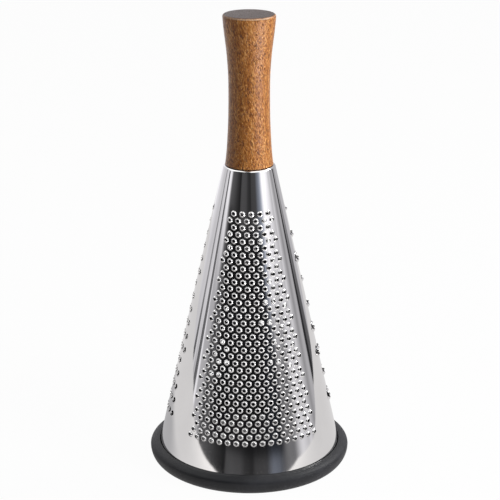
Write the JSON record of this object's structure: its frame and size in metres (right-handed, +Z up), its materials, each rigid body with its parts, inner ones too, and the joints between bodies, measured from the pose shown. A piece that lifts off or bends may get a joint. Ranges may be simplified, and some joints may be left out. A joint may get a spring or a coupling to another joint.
{
  "type": "conical grater",
  "caption": "Hand-held conical kitchen grater: a polished steel cone with fine, medium and coarse punched fields, a waisted wooden handle on top and a rubber ring round its foot.",
  "frame": {"origin": "centre of the base ring's flat underside, on the surface the grater stands on", "axes": "+Z up along the cone's axis towards the handle, -Y through the middle of the fine field, +X to the right of someone facing that field"},
  "size_m": [0.111, 0.111, 0.25],
  "materials": {
    "rubber": "matte charcoal rubber",
    "polished_steel": "mirror-polished stainless sheet",
    "satin_steel": "satin stainless steel",
    "brass": "turned brass",
    "handle_wood": "oiled reddish-brown hardwood, grain along the handle"
  },
  "bodies": {
    "root": {"base_ring": "rubber", "grater_cone": "polished_steel", "cap_plate": "satin_steel", "flat_washer": "satin_steel", "spring_washer": "satin_steel", "handle_screw": "satin_steel", "threaded_insert": "brass", "handle": "handle_wood"}
  },
  "joints": []
}
